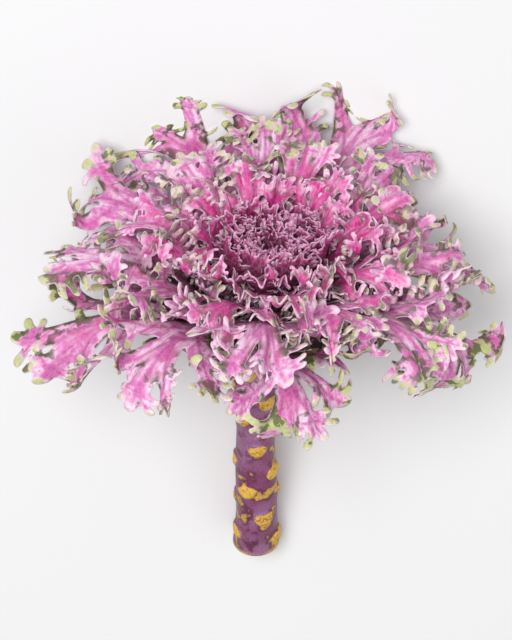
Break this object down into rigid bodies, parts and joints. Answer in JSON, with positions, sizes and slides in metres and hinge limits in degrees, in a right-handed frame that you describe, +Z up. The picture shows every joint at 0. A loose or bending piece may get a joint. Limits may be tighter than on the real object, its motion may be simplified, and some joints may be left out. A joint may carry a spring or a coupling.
{
  "type": "purple kale",
  "caption": "Cut purple kale with a feathery, deeply cut rosette on a scarred stem, lying on its side.",
  "frame": {"origin": "centre of the plant's footprint, on the surface that it lies on", "axes": "+Z is up; the plant lies with the cut end of its stem toward -Y and its head toward +Y"},
  "size_m": [0.242, 0.2431, 0.1839],
  "materials": {
    "leaf_blade": "soft waxy leaf, pink-purple with pale ribs and cream to green tips",
    "heart_blade": "soft waxy young leaf, deep magenta with pale edges",
    "stem_skin": "smooth waxy skin, dark purple with ochre leaf scars"
  },
  "bodies": {
    "root": {"stem": "stem_skin", "heart": "heart_blade", "leaf_01": "leaf_blade", "leaf_02": "leaf_blade", "leaf_03": "leaf_blade", "leaf_04": "leaf_blade", "leaf_05": "leaf_blade", "leaf_06": "leaf_blade", "leaf_07": "leaf_blade", "leaf_08": "leaf_blade", "leaf_09": "leaf_blade", "leaf_10": "leaf_blade", "leaf_11": "leaf_blade", "leaf_12": "leaf_blade", "leaf_13": "leaf_blade", "leaf_14": "leaf_blade", "leaf_15": "leaf_blade", "leaf_16": "leaf_blade", "leaf_17": "leaf_blade", "leaf_18": "leaf_blade", "leaf_19": "leaf_blade", "leaf_20": "leaf_blade", "leaf_21": "leaf_blade", "leaf_22": "leaf_blade", "leaf_23": "leaf_blade", "leaf_24": "leaf_blade", "leaf_25": "leaf_blade", "leaf_26": "leaf_blade", "leaf_27": "leaf_blade", "leaf_28": "leaf_blade", "leaf_29": "leaf_blade", "leaf_30": "leaf_blade", "leaf_31": "leaf_blade", "leaf_32": "leaf_blade", "leaf_33": "leaf_blade", "leaf_34": "leaf_blade"}
  },
  "joints": []
}
